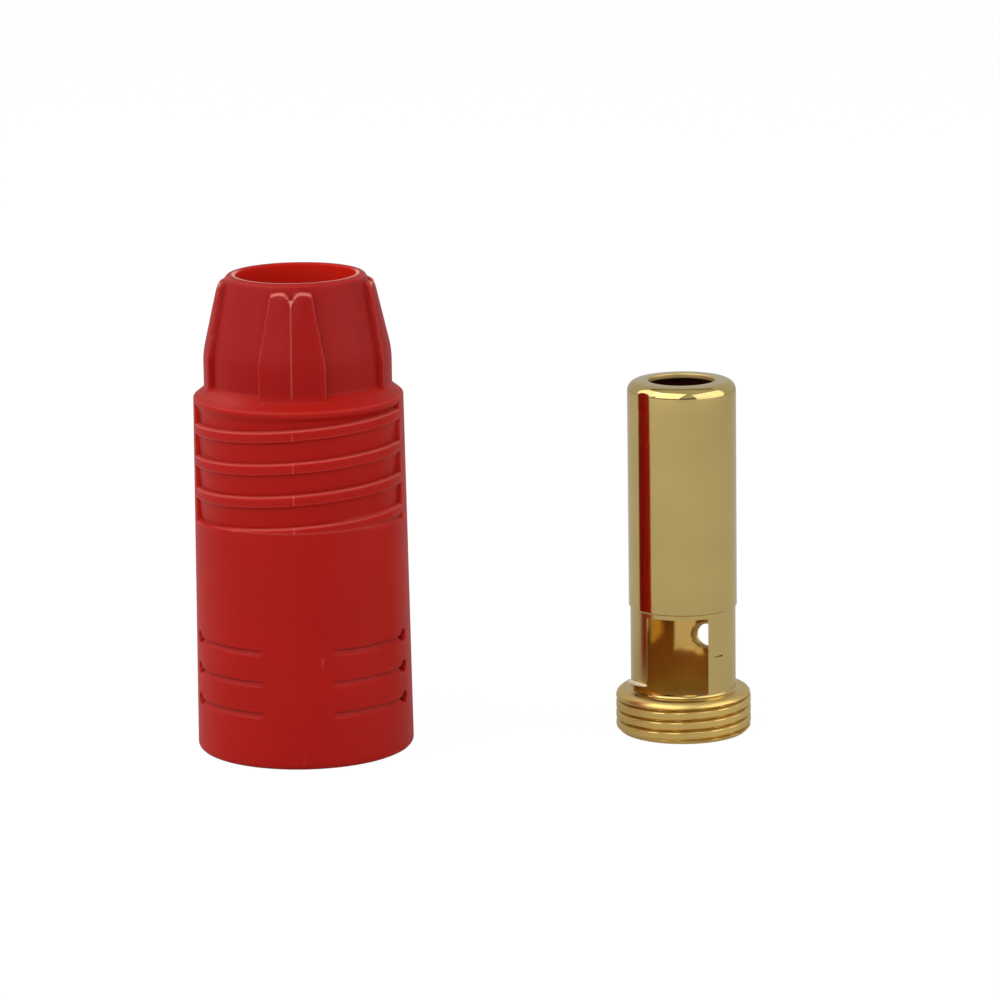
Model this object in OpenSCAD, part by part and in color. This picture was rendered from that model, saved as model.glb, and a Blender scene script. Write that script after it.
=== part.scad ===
// Battery lead connector, taken apart: the moulded housing stands cable end up,
// and beside it the turned contact stands on its threaded flange.
// Millimetres, +Z up. The origin is on the ground, midway across the two pieces.

/* [Placement] */
// Distance between the two axes, from side to side
axis_gap = 28; // [24:0.5:40]
// How far the contact stands behind the housing
contact_setback = 2.6; // [0:0.1:2.9]
// Turn of the housing about its own axis, in degrees
housing_turn = -1.5; // [-15:0.5:15]
// Turn of the contact about its own axis, in degrees
contact_turn = -10; // [-30:1:30]

/* [Housing body] */
// Height of the housing from its mating face to its cable end
housing_h = 35.2; // [33.5:0.1:38]
// Outer diameter at the mating face
base_d = 15.9; // [15.4:0.1:18]
// Draft angle of the body's side, in degrees
side_draft = 0.65; // [0.2:0.05:0.9]
// Rounding of the edge around the mating face
base_round = 0.45; // [0.2:0.05:0.8]
// Length of the slimmer cable end, from the shoulder's lower edge to the rim
neck_h = 8.9; // [8:0.1:10]
// Height of the sloping shoulder
shoulder_h = 1; // [0.6:0.1:1.4]
// Diameter of the neck above the shoulder, between the ribs
neck_d = 12.8; // [11.8:0.1:13]
// Length of the neck's tapering end
taper_h = 5.7; // [4.5:0.1:6.2]
// Wall of the rim at the cable end
rim_wall = 0.7; // [0.55:0.05:1.1]
// Rounding of the rim's outer edge
rim_round = 0.45; // [0.1:0.05:0.5]

/* [Housing ribs] */
// Number of ribs around the neck
rib_count = 4; // [2:1:6]
// How far a rib stands out from the neck
rib_rise = 0.45; // [0.25:0.05:0.6]
// Width of a rib on the straight part of the neck
rib_foot_w = 5; // [3.5:0.1:5.5]
// Width of a rib at its top end
rib_top_w = 3; // [1.5:0.1:3.4]
// Distance from a rib's top end down from the rim
rib_drop = 0.4; // [0.3:0.05:1]
// Rounding of a rib's top end, seen from the side
rib_top_round = 0.8; // [0.4:0.05:1]

/* [Housing grip] */
// Height of the grip band
grip_h = 8.6; // [7:0.1:10.6]
// Plain band left between the grip and the shoulder's edge
grip_top_gap = 0.2; // [0.1:0.05:0.6]
// Rise of the grip ridge in one turn
ridge_pitch = 2.36; // [2:0.02:3]
// Tilt of the ridge as it crosses the front, in degrees
ridge_tilt = 3.7; // [2:0.1:5]
// Width of the grip ridge, measured along the axis
ridge_w = 0.7; // [0.5:0.05:1]
// Height of a ridge's middle above the grip's lower edge, at the front
ridge_start = 0.05; // [-0.5:0.05:0.5]
// Depth of the groove between the turns of the ridge
groove_depth = 0.4; // [0.2:0.05:0.55]
// Width of the plain pad down each side of the grip
grip_pad_w = 3.8; // [2.5:0.1:5]

/* [Housing slots] */
// Number of short slots above one another
slot_count = 3; // [1:1:4]
// Height of the lowest slot's middle
slot_z = 4; // [3:0.1:6]
// Distance between the slots
slot_pitch = 2.32; // [1.8:0.02:3]
// Height of one slot
slot_h = 0.4; // [0.3:0.05:0.7]
// Depth of a slot, as it would be at the very side
slot_depth = 0.3; // [0.2:0.05:0.5]
// How much shallower a slot runs out towards the front and the back
slot_fade = 0.2; // [0:0.02:0.24]
// Plain width left between the slots at the front and at the back
slot_front_gap = 4.9; // [4:0.1:7]
// Plain width left between the slots at each side
slot_side_gap = 4.6; // [3:0.1:6]
// Diameter of the round pit at the side end of a slot
slot_pit_d = 0.8; // [0.7:0.05:1.1]
// Depth of that pit
slot_pit_depth = 0.5; // [0.35:0.05:0.7]

/* [Housing bores] */
// Radial clearance between the contact's tube and the bore that it lies in
tube_clearance = 0.4; // [0.1:0.05:0.45]
// Bore of the mating socket at the wide end
socket_d = 12.6; // [11.5:0.1:13.2]
// Depth of the mating socket
socket_depth = 6.5; // [5:0.1:8]
// Chamfer around the socket's mouth
socket_chamfer = 0.4; // [0.2:0.05:0.6]
// Extra depth of the tapped seat over the flange's height
seat_spare = 0.4; // [0.2:0.1:1]

/* [Thread] */
// Outer diameter of the thread that holds the contact in the housing
thread_d = 10; // [9.6:0.1:10.6]
// Distance from one thread crest to the next
thread_pitch = 0.75; // [0.5:0.05:0.9]
// Depth of the thread, which is cut shallow and leaves wide crests
thread_depth = 0.22; // [0.15:0.01:0.3]
// Radial clearance between the two threads
thread_clearance = 0.1; // [0.05:0.01:0.2]

/* [Contact] */
// Overall height of the contact
contact_h = 26.45; // [24:0.05:28]
// Outer diameter of the tube
tube_d = 8; // [7.7:0.05:8.1]
// Wall of the tube around its mating socket
tube_wall = 0.5; // [0.4:0.05:0.7]
// How much smaller the tube's lower length is, on the diameter
relief_cut = 0.22; // [0.06:0.02:0.3]
// Length of the tube's slimmer foot, above the flange
relief_h = 6.25; // [6.1:0.05:8]
// Rounding between the tube and its end face
nose_round = 0.75; // [0.4:0.05:1]
// Hole for the lead in the tube's end face
lead_hole_d = 4.9; // [4:0.1:5.2]
// Thickness of the tube's end wall
nose_wall = 0.4; // [0.3:0.05:0.6]
// Slope of the end face, from the hole down to the rounding
nose_fall = 0.08; // [0.02:0.02:0.2]
// Height of the threaded flange
flange_h = 3.2; // [2.6:0.1:4]
// Chamfer on both edges of the flange
flange_chamfer = 0.34; // [0.1:0.02:0.4]
// Rounding where the tube stands on the flange
foot_round = 0.2; // [0.1:0.02:0.3]

/* [Contact openings] */
// Width of the window in the tube's wall
window_w = 4.6; // [3:0.1:5]
// Height of the window
window_h = 5.75; // [4:0.05:5.8]
// Wall left between the flange's top and the window
window_sill = 0.2; // [0.1:0.05:0.5]
// Diameter of the round vent in the wall behind the window
vent_d = 1.7; // [1:0.1:2.4]
// Height of the vent's middle above the flange
vent_rise = 3.13; // [2:0.01:4]
// Angle from the window round to the vent, in degrees
vent_angle = 158.5; // [140:0.5:180]

/* [Hidden] */
$fn = 96;

// Overlap that keeps every cut clear of the face it goes through
over = 0.5;
// Angle between the flanks of the metric thread
flank_angle = 60;
// Rounding of the bend where the neck starts to taper
taper_round = 6;
// Share of its own size by which a pit lies past a slot's end, and above a slot's middle
pit_shift = 1 / 3;
// Number of facets around a small hole
hole_facets = 32;
// Share of the rib's rise that rounds the shoulder's edge and the neck's foot
edge_round = rib_rise / 2;

base_r = base_d / 2;
neck_r = neck_d / 2;
thread_r = thread_d / 2;
tube_r = tube_d / 2;
tube_bore_d = tube_d - 2 * tube_wall;
relief_r = tube_r - relief_cut / 2;
relief_z = flange_h + relief_h;
cable_bore_d = tube_d + 2 * tube_clearance;
rim_r = cable_bore_d / 2 + rim_wall;
shoulder_z = housing_h - neck_h;
taper_z = housing_h - taper_h;
grip_top = shoulder_z - grip_top_gap;
grip_z = grip_top - grip_h;
shoulder_r = body_r(shoulder_z);
// The origin lies midway between the outer sides of the two pieces
housing_x = (base_r - thread_r - axis_gap) / 2;
contact_x = housing_x + axis_gap;

// Radius of the body's drafted side at height z
function body_r(z) = base_r - z * tan(side_draft);

// Radius of the neck at height z, above the start of its taper
function taper_r(z) = neck_r + (rim_r - neck_r) * (z - taper_z) / (housing_h - taper_z);

function unit(v) = v / norm(v);

// Points of the arc that is tangent to both sides of a corner
function corner_arc(before, corner, after, radius, steps = 5) =
    let (
        u = unit(before - corner),
        v = unit(after - corner),
        half = acos(u * v) / 2,
        center = corner + unit(u + v) * radius / sin(half),
        first = corner + u * radius / tan(half) - center,
        last = corner + v * radius / tan(half) - center,
        start = atan2(first.y, first.x),
        sweep = (atan2(last.y, last.x) - start + 540) % 360 - 180
    )
    [for (i = [0:steps]) center + radius * [cos(start + sweep * i / steps), sin(start + sweep * i / steps)]];

// Outline through the corners [x, y, rounding], each one rounded by its own radius
function rounded(corners) =
    let (n = len(corners), xy = [for (c = corners) [c.x, c.y]])
    [for (i = [0:n - 1])
        each corners[i].z == 0
            ? [xy[i]]
            : corner_arc(xy[(i + n - 1) % n], xy[i], xy[(i + 1) % n], corners[i].z)];

// Solid of revolution from corners [radius, height, rounding]
module turned(corners) {
    rotate_extrude() polygon(rounded(corners));
}

// Vertical bore from height z0 to z1
module bore(d, z0, z1) {
    translate([0, 0, z0]) cylinder(d = d, h = z1 - z0);
}

// One groove at height z, tilted, that covers the front half (side = -1) or the back (side = 1)
module tilted_groove(z, side) {
    groove_w = ridge_pitch - ridge_w;
    intersection() {
        translate([0, 0, z])
            rotate([0, side * ridge_tilt, 0])
                difference() {
                    bore(2 * (base_r + over), -groove_w / 2, groove_w / 2);
                    bore(2 * (body_r(z) - groove_depth), -groove_w, groove_w);
                }
        // Pads stay plain down both sides
        translate([-base_d, side > 0 ? grip_pad_w / 2 : -base_d - grip_pad_w / 2, 0])
            cube([2 * base_d, base_d, housing_h]);
    }
}

// Grooves that leave a climbing ridge, half a turn at a time, cut off level at both ends
module grip_grooves() {
    first_z = grip_z + ridge_start - ridge_pitch / 2;
    levels = ceil((grip_top - grip_z) / ridge_pitch);
    intersection() {
        bore(2 * base_d, grip_z, grip_top);
        for (i = [0:levels]) {
            tilted_groove(first_z + i * ridge_pitch, -1);
            tilted_groove(first_z + (i + 0.5) * ridge_pitch, 1);
        }
    }
}

// One level of slots: a cut on each side, interrupted in its middle. Its round floor lies
// further over than the body's axis, so that it comes up towards the front and the back.
module slot_level(z) {
    floor_r = body_r(z) - slot_depth + slot_fade;
    for (side = [-1, 1])
        difference() {
            translate([side * (slot_front_gap + base_d) / 2, 0, z])
                cube([base_d, 2 * base_d, slot_h], center = true);
            translate([-side * slot_fade, 0, 0]) bore(2 * floor_r, z - slot_h, z + slot_h);
            translate([0, 0, z]) cube([4 * base_d, slot_side_gap, 2 * slot_h], center = true);
        }
    // Round pits at the side ends, sunk from the side
    pit_y = slot_side_gap / 2 + pit_shift * slot_pit_d;
    pit_x = sqrt(pow(body_r(z) - slot_pit_depth, 2) - pow(pit_y, 2));
    for (side = [-1, 1], end = [-1, 1])
        translate([side * pit_x, end * pit_y, z + pit_shift * slot_h])
            rotate([0, side * 90, 0])
                cylinder(d = slot_pit_d, h = base_r, $fn = hole_facets);
}

// Ribs on the neck, flaring from the top end down to the straight part
module ribs() {
    top_z = housing_h - rib_drop;
    outline = [
        [-rib_foot_w / 2, shoulder_z - over], [rib_foot_w / 2, shoulder_z - over],
        [rib_foot_w / 2, taper_z], [rib_top_w / 2, top_z],
        [-rib_top_w / 2, top_z], [-rib_foot_w / 2, taper_z]
    ];
    intersection() {
        turned([
            [0, shoulder_z - over, 0],
            [neck_r + rib_rise, shoulder_z - over, 0],
            [neck_r + rib_rise, taper_z, taper_round],
            [taper_r(top_z) + rib_rise, top_z, rib_top_round],
            [0, top_z, 0]
        ]);
        for (i = [0:rib_count - 1])
            rotate([90, 0, i * 360 / rib_count])
                linear_extrude(height = base_d) polygon(outline);
    }
}

// V grooves, level and one pitch apart, that stand for the fine thread on radius r
module thread_grooves(r, z0, z1) {
    reach = over * tan(flank_angle / 2);
    half_w = thread_depth * tan(flank_angle / 2);
    count = floor((z1 - z0) / thread_pitch);
    for (i = [0:count - 1])
        translate([0, 0, z0 + (i + 0.5) * thread_pitch])
            rotate_extrude()
                polygon([
                    [r - thread_depth, 0],
                    [r + over, -half_w - reach],
                    [r + over, half_w + reach]
                ]);
}

// Same profile turned inward: grooves cut outward from the bore of a tapped hole
module tapped_grooves(r, z0, z1) {
    half_w = thread_depth * tan(flank_angle / 2);
    count = floor((z1 - z0) / thread_pitch);
    for (i = [0:count - 1])
        translate([0, 0, z0 + (i + 0.5) * thread_pitch])
            rotate_extrude()
                polygon([
                    [r + thread_depth, 0],
                    [r, half_w],
                    [r - over, half_w],
                    [r - over, -half_w],
                    [r, -half_w]
                ]);
}

// Moulded housing: one piece, open right through
module housing() {
    seat_r = thread_r + thread_clearance - thread_depth;
    seat_top = socket_depth + flange_h + seat_spare;
    color([0.72, 0.12, 0.1])
    translate([housing_x, 0, 0])
    rotate([0, 0, housing_turn])
    difference() {
        union() {
            turned([
                [0, 0, 0],
                [base_r, 0, base_round],
                [shoulder_r, shoulder_z, edge_round],
                [neck_r, shoulder_z + shoulder_h, edge_round],
                [neck_r, taper_z, taper_round],
                [rim_r, housing_h, rim_round],
                [0, housing_h, 0]
            ]);
            ribs();
        }
        grip_grooves();
        for (i = [0:slot_count - 1]) slot_level(slot_z + i * slot_pitch);
        bore(cable_bore_d, -over, housing_h + over);
        bore(2 * seat_r, -over, seat_top);
        tapped_grooves(seat_r, socket_depth, seat_top);
        bore(socket_d, -over, socket_depth);
        translate([0, 0, -over])
            cylinder(
                r1 = socket_d / 2 + socket_chamfer + over,
                r2 = socket_d / 2,
                h = socket_chamfer + over
            );
    }
}

// Turned contact: tube, end wall with the lead hole, and threaded flange in one piece
module contact() {
    color([0.83, 0.66, 0.28])
    translate([contact_x, contact_setback, 0])
    rotate([0, 0, contact_turn])
    difference() {
        turned([
            [0, 0, 0],
            [thread_r - flange_chamfer, 0, 0],
            [thread_r, flange_chamfer, 0],
            [thread_r, flange_h - flange_chamfer, 0],
            [thread_r - flange_chamfer, flange_h, 0],
            [relief_r, flange_h, foot_round],
            [relief_r, relief_z, 0],
            [tube_r, relief_z + relief_cut / 2, 0],
            [tube_r, contact_h - nose_fall, nose_round],
            [lead_hole_d / 2, contact_h, 0],
            [0, contact_h, 0]
        ]);
        thread_grooves(thread_r, 0, flange_h);
        bore(tube_bore_d, -over, contact_h - nose_wall);
        bore(lead_hole_d, 0, contact_h + over);
        // Window, milled through the front wall
        translate([-window_w / 2, -tube_d, flange_h + window_sill])
            cube([window_w, tube_d, window_h]);
        // Vent, drilled through the wall behind it
        translate([0, 0, flange_h + vent_rise])
            rotate([90, 0, vent_angle])
                cylinder(d = vent_d, h = tube_d, $fn = hole_facets);
    }
}

housing();
contact();
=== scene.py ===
"""Battery lead connector, taken apart: the red housing and the gold contact stand side by side.

Everything is in metres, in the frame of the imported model. Sizes are written in millimetres
and scaled as each mesh is made.
"""

import math

import bpy
import numpy as np
from mathutils import Matrix, Vector


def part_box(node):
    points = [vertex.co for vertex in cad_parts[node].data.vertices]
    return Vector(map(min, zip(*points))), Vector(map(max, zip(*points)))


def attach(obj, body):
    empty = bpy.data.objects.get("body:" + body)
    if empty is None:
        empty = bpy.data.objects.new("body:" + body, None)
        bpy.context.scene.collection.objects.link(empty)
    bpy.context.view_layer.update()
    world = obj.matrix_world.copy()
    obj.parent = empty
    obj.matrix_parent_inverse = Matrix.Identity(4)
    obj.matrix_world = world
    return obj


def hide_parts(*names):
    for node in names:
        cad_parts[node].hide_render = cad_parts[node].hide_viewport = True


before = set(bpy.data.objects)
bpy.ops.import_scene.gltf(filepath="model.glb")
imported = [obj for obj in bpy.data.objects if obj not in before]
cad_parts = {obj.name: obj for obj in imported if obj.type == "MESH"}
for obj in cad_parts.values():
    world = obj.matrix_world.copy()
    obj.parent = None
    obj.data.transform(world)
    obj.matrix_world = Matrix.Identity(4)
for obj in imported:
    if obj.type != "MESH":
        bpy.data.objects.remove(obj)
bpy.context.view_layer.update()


# --- Housing ------------------------------------------------------------------------------
# The insulating housing: one injection moulding in red nylon, open right through. The lead
# enters at the narrow ribbed end, and the contact screws into a tapped seat inside. The mould
# opened towards the front and the back, so a fine flash line runs down both.

mm = 0.001
housing_low, housing_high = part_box("housing")
housing_axis = ((housing_low.x + housing_high.x) / 2, (housing_low.y + housing_high.y) / 2)
housing_turn = math.radians(-1.5)

housing_h = 35.2
base_r, side_draft = 7.95, math.radians(0.65)
shoulder_z, shoulder_h = 26.3, 1.0
neck_r, taper_z, taper_round, rim_r = 6.4, 29.5, 6, 5.1
bore_r, socket_r, socket_depth, seat_top = 4.4, 6.3, 6.5, 10.1
mouth_edge, foot_edge = 0.12, 0.4
seat_r, seat_pitch, seat_turns, seat_depth = 4.88, 0.75, 4, 0.22

rib_rise, rib_top_z, rib_foot_half, rib_top_half = 0.45, 34.8, 2.5, 1.5
notch_z, notch_depth, notch_half = 33.4, 0.4, 0.3
lip_rise, lip_half, lip_drop = 0.07, 0.11, 0.22
lobe_middle, lobe_half, lobe_sag = 0.8, 0.7, 0.16

grip_low, grip_high, grip_ease = 17.5, 26.1, 0.28
ridge_pitch, ridge_w, ridge_start = 2.36, 0.7, 0.05
ridge_tilt = math.tan(math.radians(3.7))
groove_w = ridge_pitch - ridge_w
groove_depth, groove_climb, pad_half, ridge_highlight_half = 0.4, 0.45, 1.9, 0.06

slot_heights = (4.0, 6.32, 8.64)
slot_h, slot_depth, slot_fade = 0.4, 0.3, 0.2
slot_front_half, slot_side_half = 2.45, 2.3
pit_r, pit_depth, pit_side, pit_lift = 0.4, 0.5, 2.3 + 0.8 / 3, 0.4 / 3

flash_half, flash_rise = 0.05, 0.035
flash_on_rib, flash_on_body, flash_on_grip = (27.2, 34.2), (10.6, 16.6), (grip_low, 24.8)
ticks = ((1.8, 7.9, 0.42), (0.3, 0.75, 0.35))
tick_half, tick_rise = 0.12, 0.04
shoulder_sheen_x, shoulder_sheen_half = -5.0, 1.8


def arc_corner(before, corner, after, radius, steps):
    """Points of the arc that touches both sides of a corner: its centre lies on the bisector,
    at the radius over the sine of half the corner's angle."""
    before, corner, after = (np.array(p[:2], float) for p in (before, corner, after))
    u = (before - corner) / np.linalg.norm(before - corner)
    v = (after - corner) / np.linalg.norm(after - corner)
    half = math.acos(float(u @ v)) / 2
    centre = corner + (u + v) / np.linalg.norm(u + v) * radius / math.sin(half)
    first = corner + u * radius / math.tan(half) - centre
    last = corner + v * radius / math.tan(half) - centre
    start = math.atan2(first[1], first[0])
    sweep = (math.atan2(last[1], last[0]) - start + 3 * math.pi) % (2 * math.pi) - math.pi
    t = start + sweep * np.linspace(0, 1, steps + 1)
    return centre + radius * np.stack([np.cos(t), np.sin(t)], 1)


def rounded(corners, steps=5):
    """Outline (radius, height) through the corners (radius, height, rounding). Its two ends stay
    where they are, and every other corner with a rounding becomes an arc."""
    parts = [np.array([corners[0][:2]], float)]
    for before, corner, after in zip(corners, corners[1:], corners[2:]):
        if corner[2]:
            parts.append(arc_corner(before, corner, after, corner[2], steps))
        else:
            parts.append(np.array([corner[:2]], float))
    parts.append(np.array([corners[-1][:2]], float))
    return np.concatenate(parts)


def soft(distance, half_width):
    """Step from 0 to 1 as distance passes 0: the cubic 3k2 - 2k3 over twice half_width, which
    rounds both edges of a wall."""
    k = np.clip(distance / (2 * half_width) + 0.5, 0, 1)
    return k * k * (3 - 2 * k)


def spread(low, high, count, crowding):
    """count positions from low to high. Their density follows crowding(position): its running
    sum is inverted at even steps."""
    fine = np.linspace(low, high, 40 * count)
    total = np.cumsum(crowding(fine))
    total = (total - total[0]) / (total[-1] - total[0])
    return np.interp(np.linspace(0, 1, count), total, fine)


def off_axis(angle):
    """Angle from the nearest of the four directions in which the ribs stand."""
    quarter = math.pi / 2
    return np.abs((angle + quarter / 2) % quarter - quarter / 2)


housing_outline = rounded([
    (socket_r + foot_edge, 0, 0),
    (base_r, 0, 0.45),
    (base_r - shoulder_z * math.tan(side_draft), shoulder_z, 0.225),
    (neck_r, shoulder_z + shoulder_h, 0.225),
    (neck_r, taper_z, taper_round),
    (rim_r, housing_h, 0.45),
    (bore_r + mouth_edge, housing_h, 0),
])[1:-1]
taper_slope = (neck_r - rim_r) / (housing_h - taper_z)
rib_outline = rounded([
    (neck_r + rib_rise, shoulder_z, 0),
    (neck_r + rib_rise, taper_z, taper_round),
    (rim_r + taper_slope * (housing_h - rib_top_z) + rib_rise, rib_top_z, 0.8),
    (0, rib_top_z, 0),
])[:-1]


def between(value, low, high, half_width):
    """1 from low to high and 0 outside them, with soft ends."""
    return soft(value - low, half_width) * soft(high - value, half_width)


def bell(distance, half_width):
    """1 at distance 0, falling away as the exponential of minus its square."""
    return np.exp(-((distance / half_width) ** 2))


def housing_side(angle, height):
    """Radius of the outer side: the turned outline, plus the ribs where the sideways distance
    from a rib's middle is under half its width, less the grip's grooves, the slots and the pits.
    Also its marks: above 0 where the nylon is stressed pale or a highlight is painted, below 0
    where shade is painted down in the slots and pits."""
    plain = np.interp(height, housing_outline[:, 1], housing_outline[:, 0])
    radius = plain.copy()
    marks = 0 * plain
    x, y = plain * np.cos(angle), plain * np.sin(angle)
    in_front = y < 0

    # Ribs, notched in the middle of the top end, where the two mould halves meet
    across = (plain + rib_rise) * np.sin(off_axis(angle))
    rib_half = np.interp(height, [taper_z, rib_top_z], [rib_foot_half, rib_top_half])
    notched = height + notch_depth * bell(across, notch_half) * soft(height - notch_z, 0.3)
    rib_r = np.interp(notched, rib_outline[:, 1], rib_outline[:, 0], right=0)
    radius += np.maximum(rib_r - plain, 0) * soft(rib_half - across, 0.07)

    # Raised lip round the two lobes of a rib's top end, pale with a painted highlight
    lobe = rib_top_z - lip_drop - notched - lobe_sag * ((across - lobe_middle) / lobe_half) ** 2
    lip = bell(lobe, lip_half) * soft(rib_half - 0.1 - across, 0.06)
    radius += lip_rise * lip
    marks += 0.55 * lip

    # Painted sheen on the left of the shoulder
    shoulder_sheen = soft(0.4 - np.abs(height - shoulder_z - shoulder_h / 2), 0.3)
    marks += 0.17 * shoulder_sheen * bell(x - shoulder_sheen_x, shoulder_sheen_half) * in_front

    # Grip: tilted grooves between level ends, with plain pads down the sides. Each groove is
    # deepest just above a ridge and fades upwards. Behind, all stand half a pitch higher.
    front = np.where(in_front, 1, -1)
    rise = height - grip_low - ridge_start - ridge_tilt * x * front - (1 - front) * ridge_pitch / 4
    climb = (rise - ridge_w / 2) % ridge_pitch
    grooves = soft(climb - 0.03, 0.03) * soft(groove_w - 0.05 - climb, 0.11)
    grooves = grooves * (1 - groove_climb * climb / groove_w) * soft(np.abs(y) - pad_half, 0.06)
    grooves = grooves * soft(height - grip_low, 0.045)
    grooves = grooves * soft(grip_high - grip_ease - height, grip_ease)
    radius -= groove_depth * grooves

    # Painted highlights: pale lines along the ridges' upper edges, and along the grip's lower end
    ridge_highlight = bell(np.minimum(climb, ridge_pitch - climb), ridge_highlight_half)
    ridge_highlight = ridge_highlight * soft(height - grip_low - 0.1, 0.1) * soft(grip_high - 0.5 - height, 0.2)
    ridge_highlight = np.maximum(ridge_highlight, bell(height - grip_low, ridge_highlight_half) * (climb > 0.2))
    marks += 0.3 * ridge_highlight * soft(np.abs(y) - pad_half, 0.1)

    # Slots above one another, each with a round pit at its side end; a painted shade darkens both
    toward_side = np.abs(np.cos(angle))
    for middle in slot_heights:
        slot = soft(slot_h / 2 - np.abs(height - middle), 0.05)
        slot = slot * (0.3 + 0.7 * np.clip((height - middle) / slot_h + 0.5, 0, 1))
        slot = slot * soft(np.abs(x) - slot_front_half - 0.25, 0.3)
        slot = slot * soft(np.abs(y) - slot_side_half, 0.06)
        radius -= (slot_depth - slot_fade * (1 - toward_side)) * slot
        marks -= 0.35 * slot
        pit_x = np.sqrt((plain - pit_depth) ** 2 - pit_side**2)
        pit_floor = pit_x / np.maximum(toward_side, 0.5)
        from_pit = np.hypot(np.abs(y) - pit_side, height - middle - pit_lift)
        pit = soft(pit_r - from_pit, 0.05)
        radius -= np.maximum(radius - pit_floor, 0) * pit
        marks -= 0.8 * pit * (toward_side > 0.5)

    # Flash line of the mould, on the rib and the ridges, and fainter down the body
    on_rib = between(height, *flash_on_rib, 0.2)
    on_grip = (1 - grooves) ** 4 * between(height, *flash_on_grip, 0.1)
    on_body = soft(height - flash_on_body[0], 0.8) * soft(flash_on_body[1] - height, 0.5)
    flash = soft(flash_half - np.abs(x), flash_half)
    radius += flash_rise * (on_rib + on_grip + 0.35 * on_body) * flash
    marks += (0.26 * on_rib + 0.2 * on_grip + 0.05 * on_body) * flash

    # Two short raised ticks in front, where the mould was nicked
    for tick_x, tick_z, tick_long in ticks:
        tick = soft(tick_half - np.abs(x - tick_x), 0.08) * in_front
        tick = tick * soft(tick_long - np.abs(height - tick_z), 0.1)
        radius += tick_rise * tick
        marks += 0.2 * tick
    return radius, marks


def edge_sharpness(angle, height):
    """How far a point stands out from the mean of its four neighbours 0.12 mm away: 1 on an
    outer edge, -1 in an inner corner, 0 on a smooth side."""
    near, middle_r, full = 0.12, 7.5, 0.05
    around = sum(
        housing_side(angle + a * near / middle_r, height + b * near)[0]
        for a, b in ((-1, 0), (1, 0), (0, -1), (0, 1))
    )
    return np.clip((housing_side(angle, height)[0] - around / 4) / full, -1, 1)


def column_crowding(angle):
    """Columns stand closest where ribs, pads and slots have their upright edges, 13 to 23
    degrees off the four directions, and at the flash lines in front and behind."""
    from_flash = np.degrees(np.arccos(np.abs(np.sin(angle))))
    return 1 + 1.9 * between(np.degrees(off_axis(angle)), 13, 23, 1) + 8 * bell(from_flash, 0.5)


def row_crowding(height):
    """Rows stand closest at the slots, the grip's ridges, the shoulder and the rim."""
    in_grip = between(height, grip_low - 0.2, grip_high + 0.1, 0.1)
    to_shoulder = between(height, grip_low - 0.2, shoulder_z + shoulder_h + 0.2, 0.1)
    crowd = 1 + 3 * to_shoulder + 7 * soft(height - 33.9, 0.1)
    half_pitch = ridge_pitch / 2
    for side in (-1, 1):
        from_edge = (height - grip_low - ridge_start - side * ridge_w / 2) % half_pitch
        crowd = crowd + 16 * in_grip * bell(np.minimum(from_edge, half_pitch - from_edge), 0.09)
    for middle in slot_heights:
        crowd = crowd + 9 * soft(0.5 - np.abs(height - middle - 0.1), 0.1)
    return crowd


def turned_grid(radius, height, angle):
    """Vertices and quads of a closed ring: point (row, column) stands at that radius, height and
    angle, and both rows and columns join up with themselves."""
    co = np.stack([radius * np.cos(angle), radius * np.sin(angle), height], -1)
    rows, columns = radius.shape
    index = np.arange(rows * columns).reshape(rows, columns)
    right, up = np.roll(index, -1, 1), np.roll(index, -1, 0)
    quads = np.stack([index, right, np.roll(right, -1, 0), up], -1)
    return co.reshape(-1, 3), quads.reshape(-1, 4)


def stand(name, co, quads, axis, turn):
    """Mesh piece from vertices in millimetres, turned about its own axis and stood at axis."""
    c, s = math.cos(turn), math.sin(turn)
    placed = co @ np.array([[c, s, 0], [-s, c, 0], [0, 0, 1]]) * mm + np.array([*axis, 0])
    mesh = bpy.data.meshes.new(name)
    mesh.from_pydata(placed.tolist(), [], quads.tolist())
    mesh.polygons.foreach_set("use_smooth", np.ones(len(mesh.polygons), bool))
    mesh.set_sharp_from_angle(angle=math.radians(38))
    piece = bpy.data.objects.new(name, mesh)
    bpy.context.scene.collection.objects.link(piece)
    return piece


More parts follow.
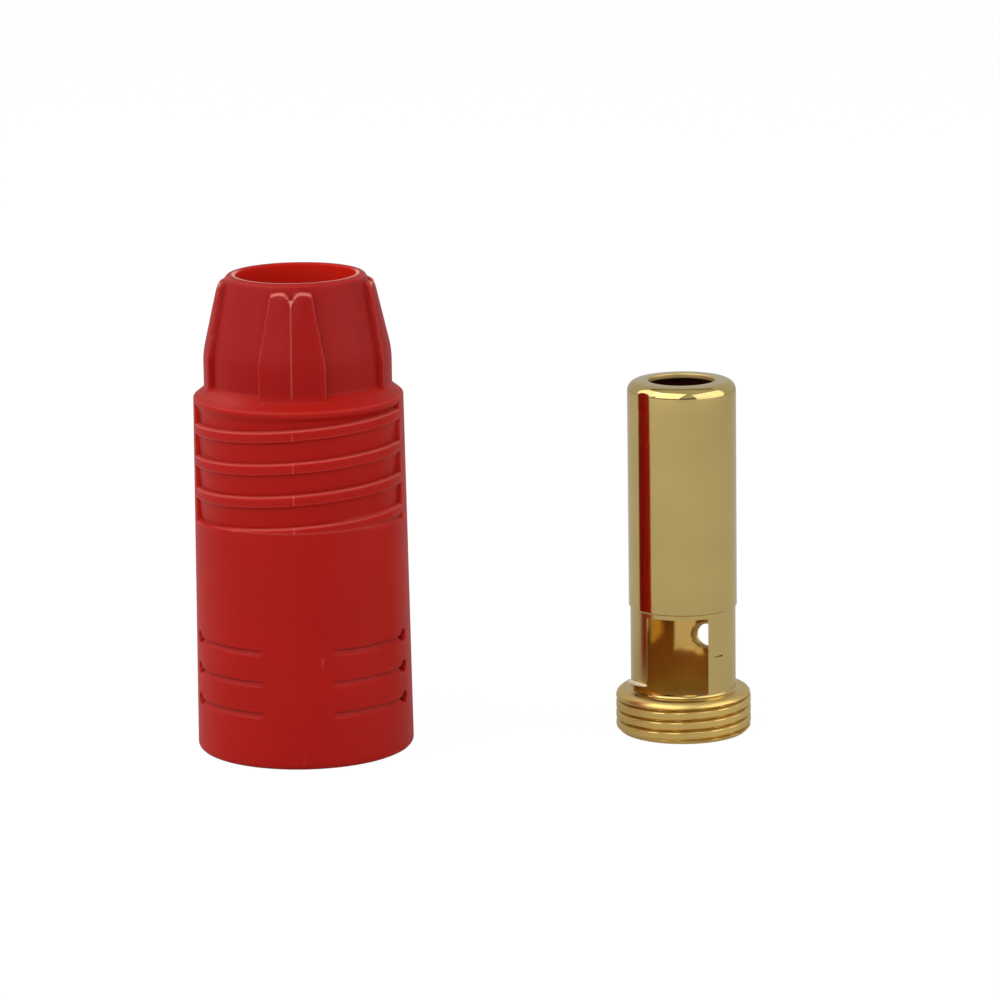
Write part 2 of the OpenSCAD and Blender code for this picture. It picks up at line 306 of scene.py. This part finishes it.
def housing_grid():
    """The outer side row by row upwards, then over the rim and down through the bore, the tapped
    seat and the socket. In the grip, rows follow the tilt of the ridges."""
    column_count, row_count, grip_r = 336, 205, 7.7
    columns = spread(-math.pi, math.pi, column_count + 1, column_crowding)[:-1]
    rows = spread(0.45, housing_h - 0.25, row_count, row_crowding)
    heights = np.unique(np.concatenate([housing_outline[:, 1], rows]))
    angle, height = np.meshgrid(columns, heights)
    follow = np.clip(np.sin(angle) * grip_r / pad_half, -1, 1) * np.cos(angle) * grip_r
    height = height - between(height, grip_low + 0.3, grip_high - 0.3, 0.3) * follow * ridge_tilt
    outer, outer_marks_and_light = housing_side(angle, height)

    grooves = np.arange(seat_turns)[:, None] * seat_pitch + np.array([0.11, 0.375, 0.64])
    crests = np.tile([0, seat_depth, 0], seat_turns)
    seat = np.stack([seat_r + crests, socket_depth + grooves.ravel()], 1)[::-1]
    mouth = [(rim_r - 0.3, housing_h, 0), (bore_r, housing_h, mouth_edge), (bore_r, 35, 0)]
    inner = np.concatenate([
        rounded(mouth, 4)[1:],
        [[bore_r, 32.5], [bore_r, 30], [bore_r, 20], [bore_r, seat_top], [seat_r, seat_top]],
        seat,
        [[seat_r, socket_depth], [socket_r, socket_depth]],
        [[socket_r, foot_edge], [socket_r + foot_edge, 0]],
    ])
    inner_r, inner_z = inner[:, :1], inner[:, 1:]
    all_round = np.ones_like(columns)

    # A painted highlight makes the rim's inner edge pale in front and at the sides
    pale = soft(0.25 - np.sin(columns), 0.3)
    flat = (height > housing_h - 0.02) & (outer < bore_r + 0.3)
    marks = np.concatenate([outer_marks_and_light + flat * pale, (inner_z > housing_h - 0.11) * pale])
    # Edge sharpness, weaker low on the body: it pales outer edges with wear and a painted
    # highlight, and darkens inner corners with a painted shade
    edges = edge_sharpness(angle, height) * (0.3 + 0.7 * soft(height - 14, 2))
    edges = np.concatenate([edges, 0 * inner_r * all_round])
    radius = np.concatenate([outer, inner_r * all_round])
    height = np.concatenate([height, inner_z * all_round])
    return *turned_grid(radius, height, columns), edges, marks


housing_co, housing_quads, housing_edges, housing_marks_and_light = housing_grid()
housing = stand("housing_shell", housing_co, housing_quads, housing_axis, housing_turn)
for name, values in (("edge", housing_edges), ("marks_and_painted_light", housing_marks_and_light)):
    layer = housing.data.attributes.new(name, "FLOAT", "POINT")
    layer.data.foreach_set("value", values.ravel().astype(np.float32))


class Wire:
    """One output of a shader node. Arithmetic on wires and numbers adds Math nodes."""

    def __init__(self, tree, socket):
        self.tree, self.socket = tree, socket

    def node(self, kind, settings=None, sockets=None, out=0):
        """Adds a node of that kind: its settings first, then the value or wire of each socket."""
        made = self.tree.nodes.new(kind)
        for name, value in (settings or {}).items():
            setattr(made, name, value)
        for name, value in (sockets or {}).items():
            if isinstance(value, Wire):
                self.tree.links.new(value.socket, made.inputs[name])
            else:
                made.inputs[name].default_value = value
        return Wire(self.tree, made.outputs[out])

    def math(self, operation, *values):
        """Adds a Math node: values are its inputs in order."""
        return self.node("ShaderNodeMath", {"operation": operation}, dict(enumerate(values)))

    def __add__(self, other):
        return self.math("ADD", self, other)

    def __sub__(self, other):
        return self.math("SUBTRACT", self, other)

    def __rsub__(self, other):
        return self.math("SUBTRACT", other, self)

    def __mul__(self, other):
        return self.math("MULTIPLY", self, other)

    __radd__, __rmul__ = __add__, __mul__

    def step(self, low, high):
        """0 below low, 1 above high, and smooth between."""
        return self.node(
            "ShaderNodeMapRange",
            {"interpolation_type": "SMOOTHSTEP"},
            {"Value": self, "From Min": low, "From Max": high},
        )

    def part(self, index):
        """One coordinate of this wire: 0 is X, 1 is Y and 2 is Z."""
        return self.node("ShaderNodeSeparateXYZ", {}, {"Vector": self}, out=index)

    def from_line(self, axis):
        """Distance in millimetres from the upright line that stands at axis."""
        flat = self.node(
            "ShaderNodeMapping",
            {},
            {
                "Vector": self,
                "Location": (-axis[0] / mm, -axis[1] / mm, 0),
                "Scale": (1 / mm, 1 / mm, 0),
            },
        )
        return flat.node("ShaderNodeVectorMath", {"operation": "LENGTH"}, {0: flat}, out=1)

    def noise(self, scale, detail=2.0, stretch=(1, 1, 1)):
        """Noise at scale cells a metre on this wire's coordinates, stretched along an axis."""
        placed = self.node("ShaderNodeMapping", {}, {"Vector": self, "Scale": stretch})
        return self.node(
            "ShaderNodeTexNoise", {}, {"Vector": placed, "Scale": scale, "Detail": detail}
        )

    def blend(self, low, high):
        """Colour low where this wire is 0, and high where it is 1."""
        made = self.tree.nodes.new("ShaderNodeMix")
        made.data_type = "RGBA"
        self.tree.links.new(self.socket, made.inputs["Factor"])
        for socket, colour in ((made.inputs[6], low), (made.inputs[7], high)):
            if isinstance(colour, Wire):
                self.tree.links.new(colour.socket, socket)
            else:
                socket.default_value = (*colour, 1)
        return Wire(self.tree, made.outputs[2])


def finish_material(name, constants):
    """A Principled material with its constants set, and a wire of the object's coordinates."""
    material = bpy.data.materials.new(name)
    material.use_nodes = True
    tree = material.node_tree
    shader = tree.nodes["Principled BSDF"]
    for socket, value in constants.items():
        shader.inputs[socket].default_value = value
    place = Wire(tree, tree.nodes.new("ShaderNodeTexCoord").outputs["Object"])
    return material, shader, place


def feed(shader, **wires):
    """Joins wires to the shader's sockets. An underscore in a name stands for a space."""
    for name, wire in wires.items():
        wire.tree.links.new(wire.socket, shader.inputs[name.replace("_", " ")])


def nylon():
    """Red nylon as moulded: a fine matt grain and slow flow marks up the side. It is deeper on
    the neck, and brighter in the bore, a painted light for the light that comes through the
    wall. Outer edges are smoother and paler, partly from fingers rubbing them and partly a
    painted highlight; inner corners are darker, a painted shade. It is pale where it is stressed
    and where highlights are painted on the rib's lip, the ridges, the shoulder and the rim, and
    dark where shade is painted down in the slots and pits."""
    material, shader, place = finish_material(
        "red_nylon",
        {
            "IOR": 1.5,
            "Specular IOR Level": 0.16,
            "Sheen Weight": 0.05,
            "Sheen Roughness": 0.3,
            "Subsurface Weight": 0.5,
            "Subsurface Radius": (1.0, 0.06, 0.03),
            "Subsurface Scale": 0.0013,
        },
    )
    grain = place.noise(9000, 3)
    flow = place.noise(260, 3, (1, 1, 0.22))
    cloud = place.noise(120, 2)
    edge = place.node("ShaderNodeAttribute", {"attribute_name": "edge"}, out="Fac")
    marks_and_painted_light = place.node("ShaderNodeAttribute", {"attribute_name": "marks_and_painted_light"}, out="Fac")
    # Outer edges pale, partly from rubbing and partly a painted highlight; inner corners take a
    # painted shade
    outer, inner = edge.step(0.1, 0.8), 1 - edge.step(-0.9, -0.1)
    neck_z = shoulder_z + shoulder_h
    neck = (place.part(2) * (1 / mm)).step(neck_z - 0.2, neck_z + 0.2)
    # Painted light: the bore is brighter, for the light that comes through the wall
    bore = 1 - place.from_line(housing_axis).step(bore_r + 0.02, bore_r + 0.1)
    tone = cloud.step(0.3, 0.7).blend((0.395, 0.0050, 0.0012), (0.425, 0.0062, 0.0018))
    tone = (neck * 0.7).blend(tone, (0.315, 0.0020, 0.0004))
    tone = bore.blend(tone, (0.54, 0.0085, 0.0015))
    tone = (inner * 0.2).blend(tone, (0.23, 0.003, 0.002))
    tone = (outer * 0.35).blend(tone, (0.58, 0.060, 0.045))
    # Marks above 0 pale it, for stress and for painted highlights; below 0 a painted shade darkens
    # it
    tone = marks_and_painted_light.step(0, 1).blend(tone, (0.85, 0.34, 0.27))
    tone = (1 - marks_and_painted_light.step(-1, 0)).blend(tone, (0.10, 0.001, 0.001))
    relief = grain * 0.35 + flow * 1.6
    bump = place.node(
        "ShaderNodeBump", {}, {"Height": relief, "Strength": 0.35, "Distance": 0.00003}
    )
    feed(shader, Base_Color=tone, Roughness=0.40 + flow * 0.12 - outer * 0.08, Normal=bump)
    return material


housing.data.materials.append(nylon())
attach(housing, "root")
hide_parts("housing")


# --- Contact ------------------------------------------------------------------------------
# The contact: one turned brass part, gold plated all over. A 7 mm socket runs up inside it, a
# window and a vent show the soldered lead, and the flange's M10 x 0.75 thread fits the housing.
# A tool left an undercut at the window's lower left corner and a nick to the window's right.

contact_low, contact_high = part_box("contact")
contact_axis = ((contact_low.x + contact_high.x) / 2, (contact_low.y + contact_high.y) / 2)
contact_turn = math.radians(-10)

contact_h, tube_r, relief_r, relief_z = 26.45, 4.0, 3.89, 9.45
contact_bore_r, contact_mouth_r, lead_hole_r, end_wall = 3.5, 4.0, 2.45, 0.4
nose_round, nose_fall, relief_edge = 0.75, 0.08, 0.11
flange_r, flange_h, flange_chamfer = 5.0, 3.2, 0.34
thread_pitch, thread_depth, thread_half = 0.75, 0.22, 0.18
thread_start = 2.55 - 3 * thread_pitch
window_half, window_low, window_high = 2.3, 3.4, 9.15
vent_r, vent_z, vent_angle = 0.85, 6.33, math.radians(-90 + 158.5)
bevel_w, bevel_in, bevel_out = 0.45, 3.2, 3.8
undercut_low, undercut_high = (-3.45, -8, 3.23), (-2.2, 0, 3.86)
nick_low, nick_high, nick_turn = (-0.5, -5, 6.14), (0.3, -3.66, 6.28), math.radians(51.8)

contact_outline = rounded([
    (contact_mouth_r, 0, 0),
    (flange_r - flange_chamfer, 0, 0.1),
    (flange_r, flange_chamfer, 0.3),
    (flange_r, flange_h - flange_chamfer, 0.5),
    (flange_r - flange_chamfer, flange_h, 0.5),
    (relief_r, flange_h, 0.18),
    (relief_r, relief_z, 0.06),
    (tube_r, relief_z + relief_edge, 0.06),
    (tube_r, contact_h - nose_fall, nose_round),
    (lead_hole_r, contact_h, 0.12),
    (lead_hole_r, contact_h - end_wall, 0.05),
    (contact_bore_r, contact_h - end_wall, 0.1),
    (contact_bore_r, 0, 0.08),
    (contact_mouth_r, 0, 0),
], 6)[:-1]


def divided(outline, longest):
    """The outline with points added, so that no stretch from a point is longer than longest
    says for it."""
    parts = []
    for a, b in zip(outline, np.roll(outline, -1, 0)):
        count = max(1, math.ceil(np.linalg.norm(b - a) / longest(a, b)))
        parts.append(a + (b - a) * np.arange(count)[:, None] / count)
    return np.concatenate(parts)


def contact_grid():
    """The outline turned round the axis. On the flange's rim a soft V groove is cut whose middle
    climbs one pitch a turn to the right: its depth falls off evenly to both sides."""
    fine, coarse = 0.04, 1.2
    outline = divided(
        contact_outline,
        lambda a, b: fine if min(a[0], b[0]) > flange_r - 0.1 else coarse,
    )
    angle = np.linspace(-math.pi, math.pi, 361)[:-1]
    radius = outline[:, :1] * np.ones_like(angle)
    height = outline[:, 1:] * np.ones_like(angle)
    turns = (height - thread_start) / thread_pitch - (angle + math.pi / 2) / (2 * math.pi)
    from_groove = np.abs((turns + 0.5) % 1 - 0.5) * thread_pitch
    groove = thread_depth * (1 - soft(from_groove - thread_half / 2, thread_half / 2))
    rim = (outline[:, :1] > flange_r - flange_chamfer) & (outline[:, 1:] < flange_h)
    radius = np.where(rim, np.minimum(radius, flange_r - groove), radius)
    return turned_grid(radius, height, angle)


def cut_away(piece, name, co, faces, turn=0):
    """Takes the solid with these vertices, in millimetres, and faces out of the piece."""
    cutter = stand(name, co, faces, contact_axis, contact_turn + turn)
    cut = piece.modifiers.new(name, "BOOLEAN")
    cut.operation, cut.solver, cut.object = "DIFFERENCE", "EXACT", cutter
    graph = bpy.context.evaluated_depsgraph_get()
    mesh = bpy.data.meshes.new_from_object(piece.evaluated_get(graph))
    piece.modifiers.clear()
    piece.data = mesh
    bpy.data.objects.remove(cutter)
    mesh.polygons.foreach_set("use_smooth", np.ones(len(mesh.polygons), bool))
    mesh.set_sharp_from_angle(angle=math.radians(38))


def box_solid(low, high):
    """Eight corners and six faces of an upright box, faces outwards."""
    co = np.array([[x, y, z] for z in (0, 1) for y in (0, 1) for x in (0, 1)], float)
    faces = [(0, 2, 3, 1), (4, 5, 7, 6), (0, 1, 5, 4), (2, 6, 7, 3), (0, 4, 6, 2), (1, 3, 7, 5)]
    return np.array(low) + co * (np.array(high) - np.array(low)), np.array(faces, dtype=object)


def drill_solid(radius, start, end, height, angle, start_radius=None, sides=72):
    """A level drill of that radius from start to end along the direction angle: a ring of points
    at each end, joined by quads and closed by two flat faces. start_radius makes it a cone."""
    t = np.arange(sides) * 2 * math.pi / sides
    out = np.array([math.cos(angle), math.sin(angle), 0])
    across = np.array([-math.sin(angle), math.cos(angle), 0])
    ring = np.cos(t)[:, None] * across + np.sin(t)[:, None] * np.array([0, 0, 1])
    first, last = ring * (start_radius or radius) + out * start, ring * radius + out * end
    co = np.concatenate([first, last]) + np.array([0, 0, height])
    i = np.arange(sides)
    j = np.roll(i, -1)
    faces = [tuple(q) for q in np.stack([i, j, j + sides, i + sides], 1).tolist()]
    faces += [tuple(i[::-1].tolist()), tuple((i + sides).tolist())]
    return co, np.array(faces, dtype=object)


contact = stand("contact_body", *contact_grid(), contact_axis, contact_turn)
window = box_solid((-window_half, -8, window_low), (window_half, 0, window_high))
bevel_r = vent_r - 0.05
bevel = drill_solid(bevel_r, bevel_in, bevel_out, vent_z, vent_angle, bevel_r + bevel_w)
cut_away(contact, "window", *window)
cut_away(contact, "undercut", *box_solid(undercut_low, undercut_high))
cut_away(contact, "vent", *drill_solid(vent_r, 2, 6, vent_z, vent_angle))
cut_away(contact, "vent_bevel", *bevel)
cut_away(contact, "nick", *box_solid(nick_low, nick_high), nick_turn)


def gold():
    """Polished gold plate: fine level turning marks and faint clouds. It is duller and warmer on
    the thread, and matt on the faces that were cut through the wall. A painted shade browns the
    thread's grooves, and up the bore the colour goes from a light orange gold low down to a dark
    brown higher up, a painted shade further inside."""
    material, shader, place = finish_material("gold_plate", {"Metallic": 1.0})
    height = place.part(2) * (1 / mm)
    from_axis = place.from_line(contact_axis)
    thread = 1 - height.step(flange_h - 0.1, flange_h + 0.15)
    foot = 1 - height.step(relief_z - 0.05, relief_z + 0.05)
    under_wall = 1 - height.step(contact_h - end_wall - 0.06, contact_h - end_wall)
    bore = (1 - from_axis.step(contact_bore_r + 0.02, contact_bore_r + 0.06)) * under_wall
    outside = 1 - bore
    # Painted shade: the bore darkens to brown from 11 to 22 mm up
    bore_shade = height.step(11, 22)
    lip = (1 - from_axis.step(lead_hole_r + 0.02, lead_hole_r + 0.15)) * outside
    cut = (1 - from_axis.step(relief_r - 0.12, relief_r - 0.08)) * outside
    cut = cut * height.step(window_low + 0.8, window_low + 1)
    cut = cut * (1 - height.step(window_high - 0.35, window_high - 0.15))
    # Painted shade in the thread's grooves
    groove = (1 - from_axis.step(flange_r - 0.19, flange_r - 0.04)) * outside
    groove = groove * height.step(flange_chamfer - 0.04, flange_chamfer)
    rim_top = flange_h - flange_chamfer
    groove = groove * (1 - height.step(rim_top - 0.02, rim_top + 0.02))

    turning = place.noise(900, 4, (0.05, 0.05, 22))
    cloud = place.noise(300, 3)
    grit = place.noise(7000, 3)
    tone = cloud.step(0.3, 0.7).blend((0.655, 0.490, 0.185), (0.695, 0.520, 0.200))
    tone = (thread * outside * 0.8).blend(tone, (0.76, 0.53, 0.16))
    tone = bore.blend(tone, bore_shade.blend((0.86, 0.56, 0.16), (0.30, 0.07, 0.02)))
    tone = (groove * 0.65).blend(tone, (0.36, 0.19, 0.04))
    rough = 0.07 + cloud * 0.04 + (foot + thread) * outside * 0.13
    rough = rough + bore * 0.03 + lip * 0.33 + cut * 0.35
    relief = turning * (0.25 + 0.9 * thread) + grit * thread * 0.8
    bump = place.node(
        "ShaderNodeBump", {}, {"Height": relief, "Strength": 0.2, "Distance": 0.00001}
    )
    metal = 1 - bore * 0.16 - (lip + cut) * 0.25
    feed(shader, Base_Color=tone, Roughness=rough, Metallic=metal, Normal=bump)
    return material


contact.data.materials.clear()
contact.data.materials.append(gold())
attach(contact, "root")
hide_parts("contact")


# --- Burr ---------------------------------------------------------------------------------
# A curl of bare metal that the milling of the window pushed up. It hugs the outside of the
# contact just above the flange, to the left of the window, and ends in a point on each side.

burr_z, burr_from, burr_sweep = 3.98, math.radians(-125), math.radians(-36)
burr_half_w, burr_half_h = 0.18, 0.17
burr_off, burr_flare, burr_dip = 0.04, 0.28, 0.04


def burr_grid():
    """An ellipse swept along a level arc round the tube's foot, its size falling to nothing at
    both ends as the root of a sine."""
    steps, sides = 25, 12
    along = np.linspace(0, 1, steps)[:, None]
    around = np.linspace(0, 2 * math.pi, sides + 1)[:-1]
    size = np.sqrt(np.sin(math.pi * np.clip(along, 0.002, 0.998)))
    azimuth = (burr_from + burr_sweep * along) * np.ones_like(around)
    radius = relief_r + burr_off + burr_flare * along + burr_half_w * size * np.cos(around)
    height = burr_z - burr_dip * along + burr_half_h * size * np.sin(around)
    co = np.stack([radius * np.cos(azimuth), radius * np.sin(azimuth), height], -1)
    index = np.arange(steps * sides).reshape(steps, sides)
    right = np.roll(index, -1, 1)
    quads = np.stack([index[:-1], right[:-1], right[1:], index[1:]], -1).reshape(-1, 4)
    ends = [tuple(index[0][::-1].tolist()), tuple(index[-1].tolist())]
    return co.reshape(-1, 3), np.array([tuple(q) for q in quads.tolist()] + ends, dtype=object)


def burr_metal_and_highlight():
    """The torn edge: bare metal with a fine grain, made near-white cream by a painted highlight.
    """
    material, shader, place = finish_material("burr_metal", {"Metallic": 0.75})
    grain = place.noise(3000, 3)
    tone = grain.step(0.3, 0.7).blend((0.93, 0.84, 0.60), (1.0, 0.94, 0.76))
    feed(shader, Base_Color=tone, Roughness=0.38 + grain * 0.1)
    return material


burr = stand("contact_burr", *burr_grid(), contact_axis, contact_turn)
burr.data.materials.append(burr_metal_and_highlight())
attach(burr, "root")


# --- Stand and light ----------------------------------------------------------------------
# A white sweep under plain soft light: soft boxes above the front left, to the left and low on
# the right, in even surroundings. These are dim low in front and in a ragged band high behind,
# which shows in the polished nose and flange.

sweep_half, sweep_grey = 2, 0.55
white_strength, ambient_strength = 1.09, 0.46
lamp_aim = Vector((0, 0, 0.018))


def seen_white(place, straight, mirrored, lit):
    """Mixes lit with a plain white by the share straight where the surface is looked at, and by
    the share mirrored where it is seen in a mirror."""
    look = place.node("ShaderNodeLightPath", out="Is Camera Ray") * straight
    look = look + place.node("ShaderNodeLightPath", out="Is Glossy Ray") * mirrored
    look = look + place.node("ShaderNodeLightPath", out="Is Transmission Ray") * straight
    white = {"Color": (1, 1, 1, 1), "Strength": white_strength}
    white = place.node("ShaderNodeEmission", {}, white)
    return place.node("ShaderNodeMixShader", {}, {0: look, 1: lit, 2: white})


def empty_tree(owner, output_kind, coordinates):
    """Clears the owner's nodes. Returns its output node and a wire of those coordinates."""
    owner.use_nodes = True
    tree = owner.node_tree
    tree.nodes.clear()
    output = tree.nodes.new(output_kind)
    return output, Wire(tree, tree.nodes.new("ShaderNodeTexCoord").outputs[coordinates])


def sweep_material():
    """Matt grey-white paper that the camera sees as nearly plain white, shadows included."""
    material = bpy.data.materials.new("sweep")
    output, place = empty_tree(material, "ShaderNodeOutputMaterial", "Object")
    grey = (sweep_grey, sweep_grey, sweep_grey, 1)
    lit = place.node("ShaderNodeBsdfDiffuse", {}, {"Color": grey})
    seen = seen_white(place, 0.88, 0.12, lit)
    seen.tree.links.new(seen.socket, output.inputs["Surface"])
    return material


corners = ((-1, -1), (1, -1), (1, 1), (-1, 1))
corners = [(x * sweep_half, y * sweep_half, 0) for x, y in corners]
sweep_mesh = bpy.data.meshes.new("sweep")
sweep_mesh.from_pydata(corners, [], [(0, 1, 2, 3)])
sweep_mesh.materials.append(sweep_material())
sweep = bpy.data.objects.new("sweep", sweep_mesh)
bpy.context.scene.collection.objects.link(sweep)

world = bpy.data.worlds.new("surroundings")
bpy.context.scene.world = world
world_out, around = empty_tree(world, "ShaderNodeOutputWorld", "Generated")
behind = around.part(1)
ragged = around.part(2) + around.noise(5, 2) * 0.12
low_front = (1 - ragged.step(0.20, 0.30)) * (1 - behind.step(-0.7, -0.2))
high_back = ragged.step(0.83, 0.86) * (1 - ragged.step(0.96, 0.99)) * behind.step(0.2, 0.4)
strength = ambient_strength * (1 - 0.85 * low_front) * (1 - 0.8 * high_back)
ambient = {"Color": (1, 1, 1, 1), "Strength": strength}
ambient = around.node("ShaderNodeBackground", {}, ambient)
surroundings = seen_white(around, 1, 0.1, ambient)
surroundings.tree.links.new(surroundings.socket, world_out.inputs["Surface"])


def soft_box(name, place, size, power):
    """A square soft box at place, facing the middle of the pieces."""
    lamp = bpy.data.lights.new(name, "AREA")
    lamp.shape, lamp.size, lamp.energy = "SQUARE", size, power
    box = bpy.data.objects.new(name, lamp)
    facing = lamp_aim - Vector(place)
    box.rotation_mode = "QUATERNION"
    box.location, box.rotation_quaternion = place, facing.to_track_quat("-Z", "Y")
    bpy.context.scene.collection.objects.link(box)


soft_box("key_box", (-0.20, -0.32, 0.28), 0.50, 1.2)
soft_box("left_box", (-0.42, -0.02, 0.30), 0.45, 0.8)
soft_box("right_box", (0.42, -0.20, 0.14), 0.65, 1.6)


# --- Camera -------------------------------------------------------------------------------
# A long lens in front of the middle, looking down a little and leaning by less than a degree.
# The lean is camera_roll, the sideways part of the upward direction.

camera_aim, camera_away = Vector((0.002045, 0, 0.01814)), 0.357
camera_drop, camera_roll = math.radians(12.24), 0.01466
focal_length, sensor_width = 175.6, 36

back = Vector((0, -math.cos(camera_drop), math.sin(camera_drop)))
up = Vector((0, math.sin(camera_drop), math.cos(camera_drop)))
side = Vector((1, 0, 0))
camera_x = (side - camera_roll * up).normalized()
camera_y = (up + camera_roll * side).normalized()
facing = Matrix((camera_x, camera_y, back)).transposed().to_4x4()
lens = bpy.data.cameras.new("camera")
lens.lens, lens.sensor_width = focal_length, sensor_width
lens.clip_start, lens.clip_end = 0.01, 10
camera = bpy.data.objects.new("camera", lens)
camera.matrix_world = Matrix.Translation(camera_aim + camera_away * back) @ facing
bpy.context.scene.collection.objects.link(camera)
bpy.context.scene.camera = camera
bpy.context.scene.view_settings.view_transform = "Standard"
